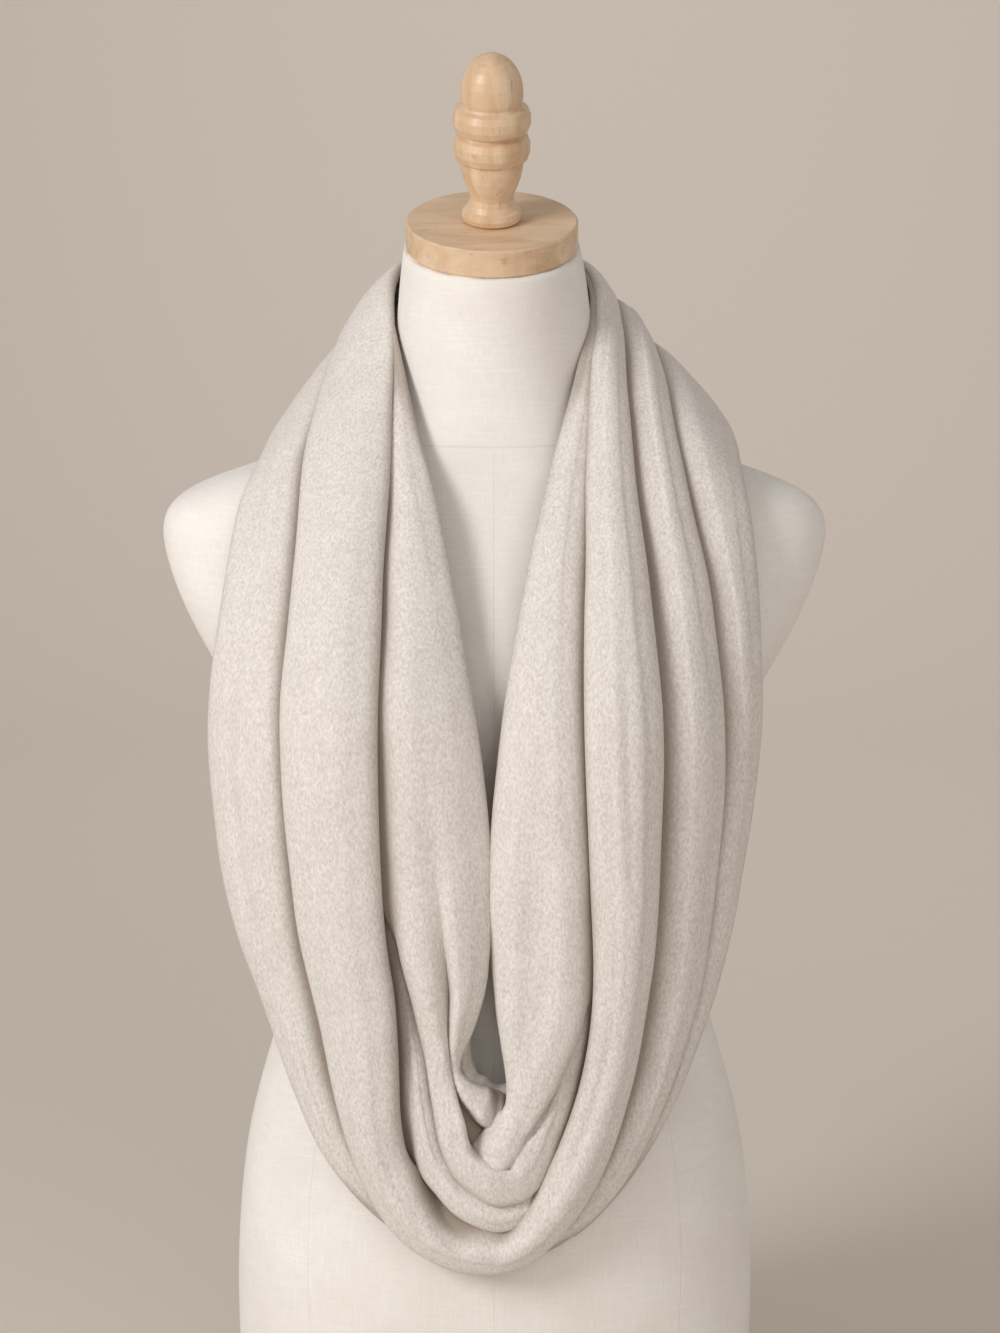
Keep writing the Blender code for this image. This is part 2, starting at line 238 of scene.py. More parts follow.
def spline_weights(count, samples, degree=3):
    """Weights of each control point of a clamped B-spline at even samples."""
    knots = np.concatenate([np.zeros(degree), np.linspace(0, 1, count - degree + 1), np.ones(degree)])
    at = np.clip(np.linspace(0, 1, samples), 0, JUST_INSIDE)
    weights = [((knots[k] <= at) & (at < knots[k + 1])).astype(float) for k in range(len(knots) - 1)]
    for step in range(1, degree + 1):
        raised = []
        for k in range(len(weights) - 1):
            left = knots[k + step] - knots[k]
            right = knots[k + step + 1] - knots[k + 1]
            rising = (at - knots[k]) / left * weights[k] if left > 0 else 0
            falling = (knots[k + step + 1] - at) / right * weights[k + 1] if right > 0 else 0
            raised.append(rising + falling)
        weights = raised
    return np.array(weights).T


print("middle of a fold of 16 control points weighs", spline_weights(16, 5).round(2).tolist()[2])

# %% The two kinds of edge
TUCK_REACH = 10.0
TUCK_DIVE = 3.0


def edge_controls(over, full, valley):
    """Control points (distance in from the crease, height) of a fold's edge, in mm."""
    # distance in from the crease, share of the fold's full height
    lip = ((9.0, 0.06), (2.5, 0.0), (-1.2, 0.20), (-1.0, 0.52), (4.0, 0.80), (11.0, 0.92))
    tucked = ((-TUCK_REACH, 0.0), (-TUCK_REACH / 2, 0.0), (valley, 0.0), (valley + 3.0, 0.25),
              (valley + 7.0, 0.62), (valley + 14.0, 0.88))
    dives = (TUCK_DIVE, 0.7 * TUCK_DIVE, 0.0, 0.0, 0.0, 0.0)
    points = []
    for (lip_in, lip_up), (tuck_in, tuck_up), dive in zip(lip, tucked, dives):
        points.append((over * lip_in + (1 - over) * tuck_in,
                       full * (over * lip_up + (1 - over) * tuck_up) - (1 - over) * dive))
    return points


print("a lip 10 mm high:", [(place, round(height, 1)) for place, height in edge_controls(1, 10, 0)])

# %% [markdown]
# ## Slow waves and valleys
# Hanging jersey is never even: its backs rise and sink by a millimetre over a hand's
# length, and here and there a soft trough runs down a fold. The waves keep the
# backs from looking machined. A valley lies between two lines of its own, and its
# slope can differ on each side.

# %% Waves and valleys
WAVE = 0.7
VALLEY_READ = 0.1


def ease(share):
    """From 0 to 1 without a corner at either end."""
    share = np.clip(share, 0, 1)
    return share * share * (3 - 2 * share)


def slow_waves(station, across, seed):
    """Three long waves, different for each fold, in mm; each is shorter and shallower."""
    long_wave = np.sin(2.1 * station + seed) * np.sin(5.0 * across + 1.7 * seed)
    middle_wave = 0.6 * np.sin(4.3 * station + 2.3 * seed + 3.0 * across)
    short_wave = 0.35 * np.sin(8.9 * station - 4.0 * across + 0.7 * seed)
    return WAVE * (long_wave + middle_wave + short_wave) / 1.6


def valley_depth(valley, station, across):
    """How far a valley between its left and right line sinks the cloth, in mm."""
    left, right, left_slope, right_slope, depth = (
        read_table(table, station, VALLEY_READ) for table in valley)
    return depth * ease((across - left) / left_slope) * ease((right - across) / right_slope)


print("waves reach", round(float(slow_waves(np.linspace(0, 20, 400), 0.5, 1.0).max()), 2), "mm")

# %% [markdown]
# ## Bending a fold
# A fold is a grid bent into place: one way along the band, the other across the
# fold. The section across it is the spline; the band carries it along. Where the
# band is narrow the section is squeezed and lowered with it.

# %% The section across a fold
ACROSS = 56
TOP_POINTS = 7
FULL_WIDTH = 36.0
LEAST_SQUEEZE = 0.12
LEAST_HEIGHT = 0.35
CROWN = 0.08
VALLEY_BESIDE = ((0, 1.5),)


def fold_section(plan, station, width):
    """Distance across and height of a fold's points in mm, and its full height."""
    full = read_table(plan["full"], station) * np.clip(width / FULL_WIDTH, LEAST_HEIGHT, 1.0)
    squeeze = np.clip(width / FULL_WIDTH, LEAST_SQUEEZE, 1.0)
    inner_edge, outer_edge = (
        edge_controls(np.clip(read_table(plan["over_" + side], station), 0, 1), full,
                      read_table(plan.get("valley_" + side, VALLEY_BESIDE), station))
        for side in ("in", "out"))
    controls = [(place * squeeze, height) for place, height in inner_edge]
    inside = controls[-1][0]
    outside = width - outer_edge[-1][0] * squeeze
    for point in range(TOP_POINTS):
        share = (point + 1) / (TOP_POINTS + 1)
        controls.append((inside + (outside - inside) * share,
                         full * (1.0 + CROWN * math.sin(math.pi * share))))
    controls += [(width - place * squeeze, height) for place, height in reversed(outer_edge)]
    weights = spline_weights(len(controls), ACROSS)
    place, height = (weights @ np.array([point[axis] for point in controls]) for axis in range(2))
    return place, height, full


print("each fold has", ACROSS, "points across it")

# %% [markdown]
# ## How low the cloth lies
# The folds of the real scarf are darker low in their creases, where little light
# comes. This is painted shade: each point keeps how low it lies, and the knit's
# colour is painted darker there.

# %% The grid of a fold
ALONG_STEP = 0.05
CALM_ENDS = 0.8
LEAST_FULL = 4.0
SHADED_BELOW = 0.8


def arc_lengths(points, axis):
    """Length run along one axis of a grid of points."""
    steps = np.linalg.norm(np.diff(points, axis=axis), axis=-1)
    pad = [(1, 0) if at == axis else (0, 0) for at in range(2)]
    return np.cumsum(np.pad(steps, pad), axis=axis)


def fold_grid(plan):
    """Places of a fold's grid of points, and how low each lies in a crease, for painted shade."""
    start, end = plan["span"]
    station = np.linspace(start, end, round((end - start) / ALONG_STEP) + 1)
    first, last = (read_table(CREASES[plan[side]], station, plan.get("soft", SOFT_READ))
                   for side in ("inner", "outer"))
    width = np.linalg.norm(band_point(station, last) - band_point(station, first), axis=-1) / MM
    place, height, full = fold_section(plan, station, width)
    lift = read_table(plan["lift"], station)
    share = place / np.maximum(width, 1.0)
    across = first + (last - first) * share
    stations = np.broadcast_to(station, across.shape)
    still = ease(np.minimum(station - start, end - station) / CALM_ENDS) if plan.get("ring") else 1.0
    height = height + lift + slow_waves(stations, share, plan["seed"]) * still
    for valley in plan.get("valleys", ()):
        height = height - valley_depth(valley, stations, across)
    points = band_point(stations, across) + band_outward(stations, across) * (height * MM)[..., None]
    if plan.get("ring"):
        points[:, -1] = points[:, 0]
    # How low a point lies in its fold, 1 deep in a crease: the amount of painted crease shade.
    painted_crease_shade = ease(1 - (height - lift) / np.maximum(full, LEAST_FULL) / SHADED_BELOW)
    return points, painted_crease_shade


print("a fold has a row every", ALONG_STEP, "of a station")

# %% [markdown]
# ## The cloth wall
# Brushed jersey is about 2 mm thick. The bent grid is a single layer, and a Solidify
# modifier gives it its wall on the body's side. The lengths run along the bent
# cloth are kept as its UV map, and they measure what a maker would cut.

# %% From a grid to cloth
CLOTH = 1.8 * MM
SAME_POINT = 0.05 * MM


def bend_sheet(shape, points, painted_crease_shade):
    """Bend a flat bmesh grid onto the points, with its lengths as UV; also its cut."""
    columns, rows = points.shape[:2]
    sheet = shape.loops.layers.uv.new("cloth")
    # The painted crease shade is kept on each point, for the knit's colour.
    depth = shape.verts.layers.float.new("painted_crease_shade")
    across, along = arc_lengths(points, axis=0), arc_lengths(points, axis=1)
    middle = along[columns // 2]
    places = {}
    for vert in shape.verts:
        row = round((vert.co.x + 0.5) * (rows - 1))
        column = round((vert.co.y + 0.5) * (columns - 1))
        places[vert] = (column, row)
        vert.co = points[column, row]
        vert[depth] = painted_crease_shade[column, row]
    for face in shape.faces:
        for loop in face.loops:
            column, row = places[loop.vert]
            loop[sheet].uv = (middle[row], across[column, row])
    widths, length = across[-1], middle[-1]
    return round(float(widths.max()), 3), round(float(length), 3), round(float(widths.mean() * length), 4)


def finish_cloth(name, shape):
    """A cloth piece from its bmesh, with its wall."""
    mesh = bpy.data.meshes.new(name)
    shape.to_mesh(mesh)
    shape.free()
    mesh.shade_smooth()
    piece = bpy.data.objects.new(name, mesh)
    scene.collection.objects.link(piece)
    wall = piece.modifiers.new("wall", "SOLIDIFY")
    wall.thickness = CLOTH
    wall.offset = -1.0
    return piece


print("cloth wall is", CLOTH / MM, "mm")

# %% [markdown]
# ## What a fold's plan says
# The scarf is built fold by fold, each from a plan of its own: the span of stations
# that it covers, the creases at its inner and outer edge, and a seed that shifts its
# waves. Over says where an edge lies on its neighbour, with a lip, and where it is
# tucked under. Full is the height of its back, and lift raises or sinks the whole
# fold. A valley has two lines across the band, a slope inside each, and a depth.

# %% Adding a fold
cloth, cuts, stands_for = {}, {}, {}


def add_fold(name, nodes, plan):
    """One fold of the scarf: its grid, its cloth and the size it would be cut."""
    points, painted_crease_shade = fold_grid(plan)
    columns, rows = points.shape[:2]
    shape = bmesh.new()
    bmesh.ops.create_grid(shape, x_segments=rows - 1, y_segments=columns - 1, size=0.5)
    width, length, area = cuts[name] = bend_sheet(shape, points, painted_crease_shade)
    if plan.get("ring"):
        bmesh.ops.remove_doubles(shape, verts=shape.verts, dist=SAME_POINT)
    cloth[name] = finish_cloth(name, shape)
    stands_for[name] = nodes
    print(name, "is cut", width, "by", length, "m, of", area, "square metres")


ALWAYS = ((0, 1.0),)
NEVER = ((0, 0.0),)
print("a plan's tables are of (station, value): heights in mm, over 1 for a lip, 0 for a tuck")

# %% [markdown]
# ## The front fold
# The topmost fold runs the whole way round: from the nape over the left shoulder,
# down the chest, round the bottom and up over the right shoulder. It is the band
# rolled out on itself, so it stands highest, 17 mm, and its outer edge is a lip all
# the way. At the bottom its inner edge passes under the swags, and two valleys make
# room for them. A shallow trough runs down each side. Its grid is closed into a
# ring, and its waves are calm where the ends meet behind the neck.

# %% The front fold
add_fold("scarf_front_fold", ("scarf_front_roll", "scarf_nape"), {
    "span": (0.0, 20.0), "inner": "roll_inside", "outer": "roll_outside", "ring": True,
    "seed": 1.0,
    "over_in": ((0, 1), (8.4, 1), (8.8, 0), (10.3, 0), (10.65, 1), (20, 1)),
    "over_out": ALWAYS,
    "full": ((0, 6.5), (1.3, 5), (2.2, 5), (3, 9), (4, 16), (8, 17), (10, 12), (12, 17), (16, 18),
             (17, 11), (18.3, 5.5), (20, 6.5)),
    "lift": ((0, 0), (1.2, -1), (1.8, -3), (2.6, -3), (3.4, 0), (20, 0)),
    "valleys": (
        (((8, 0.40), (11, 0.40)), ((8.3, 0.65), (8.6, 0.685), (9, 0.75), (9.5, 0.87), (9.8, 0.95)),
         ((0, 0.02), (20, 0.02)), ((8.4, 0.03), (9, 0.04), (9.5, 0.08), (10, 0.2)),
         ((8.4, 0), (8.7, 12), (9.1, 15), (9.5, 9), (9.9, 0))),
        (((3, 0.46), (5, 0.50), (8, 0.68)), ((3, 0.54), (5, 0.60), (8, 0.76)),
         ((0, 0.05), (20, 0.05)), ((0, 0.06), (20, 0.06)),
         ((2.6, 0), (3.4, 1.6), (4.4, 0.4), (5.6, 1.4), (6.8, 0.6), (7.6, 0))),
        (((11.5, 0.52), (14, 0.44), (16, 0.34)), ((11.5, 0.62), (14, 0.52), (16, 0.42)),
         ((0, 0.05), (20, 0.05)), ((0, 0.05), (20, 0.05)),
         ((11.2, 0), (12.2, 1.2), (13.4, 0.3), (14.8, 1.6), (16.2, 0))),
        (((9.8, 0.40), (11, 0.40)),
         ((9.9, 0.98), (10.15, 0.87), (10.3, 0.78), (10.5, 0.68), (10.7, 0.62)),
         ((0, 0.02), (20, 0.02)), ((9.9, 0.2), (10.3, 0.08), (10.6, 0.04)),
         ((9.8, 0), (10.1, 5), (10.4, 9), (10.6, 7), (10.8, 0))),
    ),
})

# %% [markdown]
# ## The outer fold
# The next fold out lies under the front fold on both sides. It comes out from under
# it low on the right, passes behind the neck and goes down the left side to the
# hem. Its inner edge dips into a narrow valley beside the front fold, widest over
# the waist, where the two folds part. One shallow trough runs down its left side.

# %% The outer fold
add_fold("scarf_outer_fold", ("scarf_right_middle", "scarf_left_outer"), {
    "span": (10.4, 29.4), "inner": "roll_outside", "outer": "outer_split",
    "seed": 2.3,
    "over_in": NEVER, "over_out": ALWAYS,
    "valley_in": ((10, 1.0), (12, 7), (15.5, 7), (18, 2.5), (22, 1.5), (23, 4), (25, 5), (26, 6),
                  (27, 9), (28, 5), (29, 1)),
    "full": ((10.4, 5), (12, 8), (13, 10), (16, 10), (17, 7), (20, 6), (22, 4), (23, 5), (24, 9), (28, 8),
             (29.4, 3)),
    "valleys": (
        (((22, 0.78), (24, 0.80), (27, 0.83)), ((22, 0.88), (24, 0.90), (27, 0.91)),
         ((0, 0.05), (40, 0.05)), ((0, 0.05), (40, 0.05)),
         ((22.4, 0), (23.3, 1.8), (24.6, 1.4), (25.8, 2.2), (27, 0))),
    ),
    "lift": ((10.4, -4), (11.2, -2), (12.2, 0), (20.5, 0), (21.8, -7), (22.8, -6), (24, 0), (28, 0),
             (29.4, -5)),
})

# %% [markdown]
# ## The rear fold
# The band's last fold shows only on the right and as the lowest fold behind the
# neck. It is the flattest, because nothing lies under it but the form, and its
# outer edge is the hem. It ends under the outer fold on the left shoulder.

# %% The rear fold
add_fold("scarf_rear_fold", ("scarf_right_outer",), {
    "span": (10.9, 22.9), "inner": "outer_split", "outer": "hem",
    "seed": 3.9,
    "over_in": NEVER, "over_out": ALWAYS, "valley_in": ((11, 1.5), (13, 4), (17, 4), (20, 1.5)),
    "full": ((10.9, 3), (12, 6), (15, 7), (18, 7), (21, 5), (22.9, 1)),
    "lift": ((10.9, -5), (11.6, -3), (12.6, 0), (20.5, 0), (21.8, -8), (22.9, -9)),
})

# %% [markdown]
# ## The left panel and upper swag
# The innermost fold on the left hangs flat from the neck. Low down its inner part
# narrows into a hook that turns back at the foot of the opening, and its outer part
# swings round the bottom as the upper swag. Both are one cloth: a deep valley parts
# the hook from the swag, and a second one sinks the hook's tip under the crossing
# panel. Its crease tables are read less softly, because the hook turns tightly.

# %% The left panel and upper swag
add_fold("scarf_left_panel", ("scarf_left_inner", "scarf_left_swag"), {
    "span": (19.4, 34.0), "inner": "panel_inner", "outer": "panel_outer", "soft": 0.12,
    "seed": 5.1,
    "over_in": ((18, 1), (30.4, 1), (30.8, 0), (33, 0)),
    "over_out": ((18, 0), (26.1, 0), (26.6, 1), (30.6, 1), (31.2, 0)),
    "full": ((18, 3), (22, 3), (24, 6), (26, 9), (27, 13), (29, 13), (30, 12), (31, 9), (32.6, 6),
             (34, 4)),
    "lift": ((18, -3), (22, -3), (24, 0), (28, 2), (30, 3), (31, -1), (32, -5), (33, -6)),
    "valleys": (
        (((25, 0.13), (26.5, 0.16), (27, 0.172), (27.5, 0.22), (27.75, 0.235), (28, 0.225),
          (28.5, 0.185), (29, 0.175), (30.6, 0.18)),
         ((25, 0.30), (26.5, 0.31), (27, 0.295), (27.5, 0.27), (28, 0.27), (28.5, 0.29), (29, 0.34),
          (29.5, 0.37), (30, 0.41), (30.5, 0.45)),
         ((25, 0.08), (26.5, 0.04), (27, 0.02), (30, 0.02)),
         ((25, 0.14), (26.5, 0.13), (27, 0.11), (27.5, 0.05), (28, 0.02), (30, 0.02)),
         ((25, 0), (25.8, 2), (26.5, 8), (27, 13), (28, 15), (29, 17), (29.9, 17), (30.3, 6),
          (30.6, 0))),
        (((0, -0.5), (40, -0.5)), ((28, 0.23), (30, 0.23), (31, 0.20)),
         ((0, 0.1), (40, 0.1)), ((28, 0.06), (32, 0.06)),
         ((28.8, 0), (29.2, 3), (29.5, 7), (29.8, 8), (30.1, 6), (30.5, 6), (31, 6), (32, 0))),
    ),
})

# %% [markdown]
# ## The low swag
# Below the upper swag a second, narrower swag shows. It comes out from under the
# left panel, so its start is sunk by 12 mm, and lies over the front fold at the
# bottom.

# %% The low swag
add_fold("scarf_low_swag_fold", ("scarf_low_swag",), {
    "span": (5.2, 11.0), "inner": "low_swag_inner", "outer": "low_swag_outer",
    "seed": 6.4, "soft": 0.12,
    "over_in": NEVER, "over_out": ((6, 0), (8.3, 0), (8.6, 1), (10.4, 1), (10.7, 0)),
    "full": ((5.2, 2), (7, 4), (8, 7), (9, 9), (10.3, 10), (11, 7)),
    "lift": ((5.2, -12), (6, -10), (7, -8), (8, -5), (9, -1.5), (10, 0), (11, -3)),
})

# %% [markdown]
# ## The crossing panel
# The inner right panel hangs from the neck like the left one, crosses in front of
# the hook and goes in behind the upper swag. It is lifted 8 mm where it crosses, and
# one broad, shallow valley runs down its middle.

# %% The crossing panel
add_fold("scarf_crossing_panel", ("scarf_right_inner",), {
    "span": (8.98, 20.6), "inner": "crossing_inner", "outer": "crossing_outer", "soft": 0.12,
    "seed": 7.7,
    "over_in": ALWAYS, "over_out": ((9, 1), (12.6, 1), (13.2, 0), (22, 0)),
    "full": ((8.98, 6), (10, 9), (11, 11), (14, 11), (17, 6), (18, 3), (22, 3)),
    "lift": ((8.98, -6), (9.2, -1), (9.5, 3), (9.8, 5), (10, 6), (10.4, 8), (11, 8), (12, 4),
             (13, 0), (17, -1), (18, -3), (22, -4)),
    "valleys": (
        (((11, 0.10), (13, 0.10), (15, 0.08)), ((11, 0.26), (13, 0.32), (15, 0.24)),
         ((0, 0.08), (20, 0.08)), ((0, 0.10), (20, 0.10)),
         ((11.5, 0), (12.5, 4), (13.5, 4), (15, 0))),
    ),
})

# %% [markdown]
# ## The lining
# In the foot of the opening the inside of the band shows behind the hook. This
# strip is that turned-back cloth, set 2 to 10 mm lower than the band, so that the
# opening shows cloth and not the form.

# %% The lining
add_fold("scarf_lining", ("scarf_left_inner",), {
    "span": (6.6, 12.8), "inner": "lining_inner", "outer": "lining_outer", "soft": 0.12,
    "seed": 8.8,
    "over_in": ALWAYS, "over_out": NEVER,
    "full": ((6, 6), (13, 6)),
    "lift": ((6.6, -9), (7.3, -4), (8.2, -2), (9, -5), (9.6, -9), (12.8, -10)),
})

# %% [markdown]
# ## Materials
# Each material starts from what the real one is. One function turns a hex colour
# to linear, one adds a node with its settings and links, and one gives the scale at
# which a noise pattern's lumps have a real size.

# %% Material helpers
def linear(hex_colour):
    """An sRGB hex colour as linear RGBA."""
    channels = [int(hex_colour[at:at + 2], 16) / 255 for at in (0, 2, 4)]
    return tuple(c / 12.92 if c <= 0.04045 else ((c + 0.055) / 1.055) ** 2.4 for c in channels) + (1.0,)


def lumps_of(size_mm):
    """The noise scale whose lumps are this many millimetres across."""
    return 1.0 / (size_mm * MM)


def add_node(tree, kind, inputs=(), **settings):
    """A node with its settings; an input is a value or another node's socket."""
    node = tree.nodes.new(kind)
    for key, value in settings.items():
        setattr(node, key, value)
    for key, value in dict(inputs).items():
        if isinstance(value, bpy.types.NodeSocket):
            tree.links.new(value, node.inputs[key])
        else:
            node.inputs[key].default_value = value
    return node


def new_material(name, **sockets):
    """A material, its node tree and its surface, with constants on the surface's sockets."""
    material = bpy.data.materials.new(name)
    material.use_nodes = True
    surface = material.node_tree.nodes["Principled BSDF"]
    for socket, value in sockets.items():
        surface.inputs[socket.replace("_", " ")].default_value = value
    return material, material.node_tree, surface


def set_ramp(ramp, *stops):
    """The two ends of a colour ramp, each a place and a hex colour."""
    for element, (place, colour) in zip(ramp.color_ramp.elements, stops):
        element.position = place
        element.color = linear(colour)


print("lumps of 2 mm are a noise scale of", lumps_of(2))

# %% [markdown]
# ## The knit
# The band is a fine wool jersey, brushed until its loops stand up as a short pile.
# The pile scatters light at grazing angles, which is the sheen, and hides nearly
# every highlight. The yarn is spun from grey and cream fibres, so the cloth is
# flecked; the flecks lie along the rows of loops, so they are drawn out downwards.
# They are drawn at 1.6 mm, about twice their real size, so that they show.

# %% The brushed jersey
FLECK_MM = 1.613
CLOUD_MM = 12.5
PILE_MM = 1.111
FLECK_STRETCH = (1.0, 1.0, 0.55)
CLOUD_SHARE = 0.12
CREASE_SHADE_SHARE = 0.88


def brushed_knit():
    """Heather flecks, painted shade low in the creases, and a fuzzy pile."""
    material, tree, surface = new_material(
        "brushed wool jersey", Roughness=0.95, Sheen_Weight=0.35, Sheen_Roughness=0.5,
        Sheen_Tint=linear("F4EEE6"), Specular_IOR_Level=0.2)
    place = add_node(tree, "ShaderNodeTexCoord").outputs["Object"]
    drawn = add_node(tree, "ShaderNodeMapping", {"Vector": place, "Scale": FLECK_STRETCH}).outputs[0]
    heather = add_node(tree, "ShaderNodeTexNoise", {
        "Vector": drawn, "Scale": lumps_of(FLECK_MM), "Detail": 4.0, "Roughness": 0.7})
    cloudy = add_node(tree, "ShaderNodeTexNoise", {
        "Vector": drawn, "Scale": lumps_of(CLOUD_MM), "Detail": 2.0})
    fibres = add_node(tree, "ShaderNodeMath", {
        0: cloudy.outputs["Fac"], 1: CLOUD_SHARE, 2: heather.outputs["Fac"]}, operation="MULTIPLY_ADD")
    yarn = add_node(tree, "ShaderNodeValToRGB", {"Fac": fibres.outputs[0]})
    set_ramp(yarn, (0.36, "CEC7C0"), (0.74, "F3EFEB"))
    # Painted shade: low in a crease the knit is mixed towards a dark brown, standing in for the shade that
    # falls there.
    painted_crease_shade = add_node(tree, "ShaderNodeAttribute", attribute_name="painted_crease_shade").outputs["Fac"]
    depth = add_node(tree, "ShaderNodeMath", {0: painted_crease_shade, 1: CREASE_SHADE_SHARE}, operation="MULTIPLY")
    crease_shaded = add_node(tree, "ShaderNodeMix", {
        "Factor": depth.outputs[0], "A": yarn.outputs[0], "B": linear("968779")}, data_type="RGBA")
    pile = add_node(tree, "ShaderNodeTexNoise", {
        "Vector": place, "Scale": lumps_of(PILE_MM), "Detail": 3.0})
    bump = add_node(tree, "ShaderNodeBump", {
        "Height": pile.outputs["Fac"], "Strength": 0.5, "Distance": 0.5 * MM})
    tree.links.new(crease_shaded.outputs["Result"], surface.inputs["Base Color"])
    tree.links.new(bump.outputs["Normal"], surface.inputs["Normal"])
    return material


knit = brushed_knit()
for piece in cloth.values():
    piece.data.materials.append(knit)
print("knit on", len(cloth), "pieces, with", len(knit.node_tree.nodes), "nodes")

# %% [markdown]
# ## The form
# The form is a linen cover pulled over a papier-mache body. It could be lofted
# anew, but the frame's body already has the right size, so a merged copy of it,
# its triangles joined back into four-sided faces, takes a subdivision surface. The
# edges of its base and shoulder ends stay sharp. Its UV runs round the body by
# eighths, so that the cover's eight seams, front, back, sides and the four between,
# are straight lines in it.

# %% Round the body
PANELS = 8
BODY_CENTRE_Y = -0.004
BODY_SIZES = (
    # height (m), half width, half depth (mm)
    (0.0, 170, 124),
    (0.18, 173, 122),
    (0.30, 158, 112),
    (0.39, 124, 92),
    (0.50, 138, 102),
    (0.58, 158, 104),
    (0.64, 190, 92),
    (0.70, 120, 78),
    (0.75, 66, 64),
    (0.83, 56, 56),
)


def around(place):
    """Where a point of the body lies round it, in turns from the back."""
    heights, halves, depths = zip(*BODY_SIZES)
    half, depth = (np.interp(place.z, heights, sizes) for sizes in (halves, depths))
    return math.atan2(place.x / half, (place.y - BODY_CENTRE_Y) / depth) / (2 * math.pi) % 1.0


print("the front of the chest is at", round(around(Vector((0, -0.1, 0.5))), 2), "turns")

# %% The smooth body
MERGE = 0.01 * MM
SHARP_EDGE = math.radians(60)
FLAT_JOIN = math.radians(40)
SQUARE_JOIN = math.radians(60)


def wrap_cover(shape):
    """The cover's UV: turns round the body, and height."""
    cover = shape.loops.layers.uv.new("cover")
    for face in shape.faces:
        turns = [around(loop.vert.co) for loop in face.loops]
        for loop, turn in zip(face.loops, turns):
            crosses_back = max(turns) - turn > 0.5
            loop[cover].uv = (turn + crosses_back, loop.vert.co.z)


def add_body():
    """A smooth copy of the frame's torso."""
    shape = bmesh.new()
    shape.from_mesh(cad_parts["form_torso"].data)
    bmesh.ops.remove_doubles(shape, verts=shape.verts, dist=MERGE)
    bmesh.ops.join_triangles(shape, faces=shape.faces, angle_face_threshold=FLAT_JOIN,
                             angle_shape_threshold=SQUARE_JOIN)
    crease = shape.edges.layers.float.new("crease_edge")
    for edge in shape.edges:
        flat_base = all(vert.co.z < MM for vert in edge.verts)
        edge[crease] = float(flat_base or edge.calc_face_angle() > SHARP_EDGE)
    wrap_cover(shape)
    mesh = bpy.data.meshes.new("form_body")
    shape.to_mesh(mesh)
    shape.free()
    mesh.shade_smooth()
    body = bpy.data.objects.new("form_body", mesh)
    scene.collection.objects.link(body)
    rounding = body.modifiers.new("rounding", "SUBSURF")
    rounding.levels = rounding.render_levels = 2
    print("body has", len(mesh.polygons), "faces before rounding")
    return body


body = add_body()
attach(body, "root")
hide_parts("form_torso")

# %% [markdown]
# ## The linen
# The cover is plain-woven linen in cream. Its threads run up and round the body, a
# little uneven, so the eye sees fine drawn-out slubs both ways; two noises, each
# stretched one way, draw them. Real threads are 0.5 mm apart, and they are drawn at
# 1.1 mm so that they show. The seams are lines in the cover's UV: eight up the body
# below the collar, and one round the foot of the neck. Each is a soft dip with a
# slightly deeper tone.

# %% The linen cover
THREAD_MM = 1.111
TONE_MM = 71.4
DRAWN_OUT = 0.06
COLLAR_SEAM = 0.705
COLLAR_SEAM_WIDTH = 0.9 * MM
PANEL_SEAM_WIDTH = 0.004
SEAM_TONE = 0.45


def line_mask(tree, distance, width):
    """One on a line, falling to nothing at a width from it."""
    return add_node(tree, "ShaderNodeMapRange", {0: distance, 1: 0.0, 2: width, 3: 1.0, 4: 0.0},
                    interpolation_type="SMOOTHSTEP").outputs[0]


def woven(tree, place):
    """The threads, up and round, as one height."""
    threads = []
    for stretch in ((1.0, 1.0, DRAWN_OUT), (DRAWN_OUT, DRAWN_OUT, 1.0)):
        drawn = add_node(tree, "ShaderNodeMapping", {"Vector": place, "Scale": stretch}).outputs[0]
        threads.append(add_node(tree, "ShaderNodeTexNoise", {
            "Vector": drawn, "Scale": lumps_of(THREAD_MM), "Detail": 2.0}).outputs["Fac"])
    weave = add_node(tree, "ShaderNodeMath", {0: threads[0], 1: threads[1]}, operation="MAXIMUM")
    return weave.outputs[0]


def cover_seams(tree):
    """One on a seam, nothing off it. A panel seam's width is a share of a panel."""
    sheet = add_node(tree, "ShaderNodeUVMap", uv_map="cover").outputs[0]
    cover = add_node(tree, "ShaderNodeSeparateXYZ", {0: sheet})
    panels = add_node(tree, "ShaderNodeMath", {0: cover.outputs[0], 1: float(PANELS)}, operation="MULTIPLY")
    nearest = add_node(tree, "ShaderNodeMath", {0: panels.outputs[0], 1: 0.5}, operation="PINGPONG")
    below = add_node(tree, "ShaderNodeMath", {0: cover.outputs[1], 1: COLLAR_SEAM}, operation="LESS_THAN")
    upright = add_node(tree, "ShaderNodeMath", {
        0: line_mask(tree, nearest.outputs[0], PANEL_SEAM_WIDTH), 1: below.outputs[0]}, operation="MULTIPLY")
    above = add_node(tree, "ShaderNodeMath", {0: cover.outputs[1], 1: COLLAR_SEAM}, operation="SUBTRACT")
    from_collar = add_node(tree, "ShaderNodeMath", {0: above.outputs[0]}, operation="ABSOLUTE")
    collar = line_mask(tree, from_collar.outputs[0], COLLAR_SEAM_WIDTH)
    seams = add_node(tree, "ShaderNodeMath", {0: upright.outputs[0], 1: collar}, operation="MAXIMUM")
    return seams.outputs[0]


